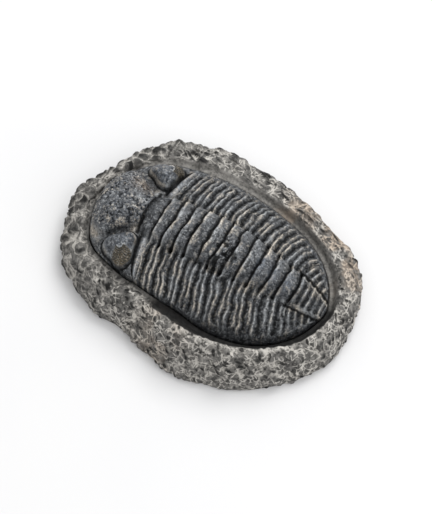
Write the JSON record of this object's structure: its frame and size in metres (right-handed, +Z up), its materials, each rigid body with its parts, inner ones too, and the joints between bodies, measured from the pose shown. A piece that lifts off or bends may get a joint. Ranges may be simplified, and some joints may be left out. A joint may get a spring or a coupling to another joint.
{
  "type": "trilobite fossil",
  "caption": "Dark trilobite fossil with domed head, eyes, ringed body and ribbed tail, lying in a hand-chiselled oval stone that rests flat.",
  "frame": {"origin": "middle of the stone's flat base, at the level of the surface it rests on", "axes": "+X along the body from head to tail, +Y towards the animal's right side, +Z up from the base to the back of the fossil"},
  "size_m": [0.0879, 0.0646, 0.0259],
  "materials": {
    "stone": "rough chiselled limestone, brown-grey with pale bruised tool marks",
    "fossil": "dark blue-black calcite with a satin sheen and pale worn ridges"
  },
  "bodies": {
    "root": {"stone": "stone", "trilobite": "fossil"}
  },
  "joints": []
}
